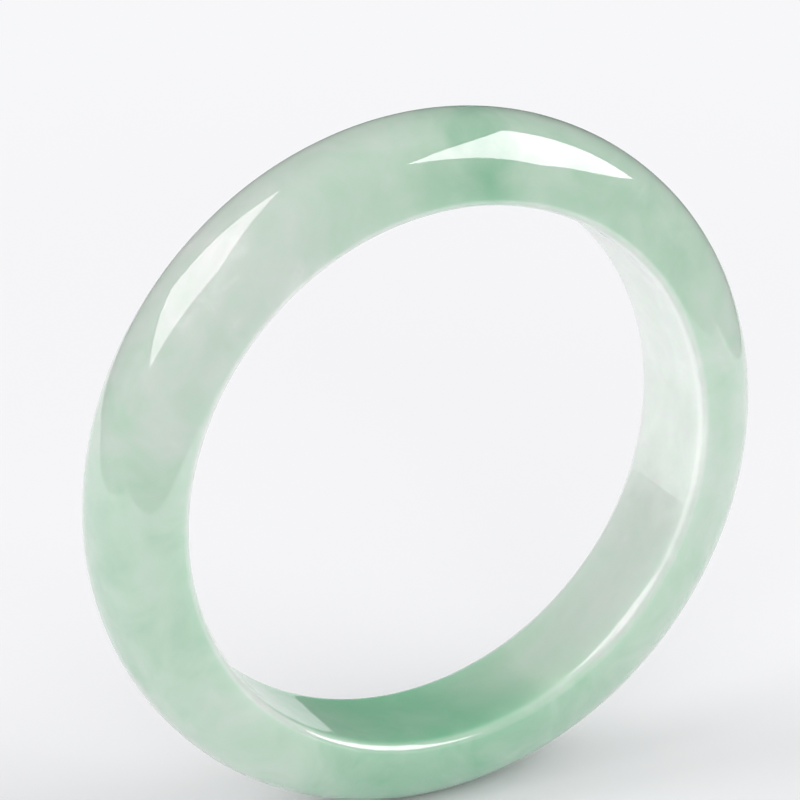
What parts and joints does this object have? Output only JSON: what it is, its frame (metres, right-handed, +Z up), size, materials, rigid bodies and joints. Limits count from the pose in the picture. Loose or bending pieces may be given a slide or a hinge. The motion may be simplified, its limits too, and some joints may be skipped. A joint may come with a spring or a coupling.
{
  "type": "bangle bracelet",
  "caption": "Closed rigid ring of polished pale green jade, flat inside and domed outside, that slips over the hand onto the wrist.",
  "frame": {"origin": "centre of the ring: on the wrist axis, at the middle of the band's width", "axes": "Y along the wrist axis, with no difference between its two ends; Z up, with the ring standing on its edge, so its lowest point is at z = -0.036 m; X to the right seen from -Y"},
  "size_m": [0.072, 0.0122, 0.072],
  "materials": {
    "jade": "polished"
  },
  "bodies": {
    "root": {"bangle_ring": "jade"}
  },
  "joints": []
}
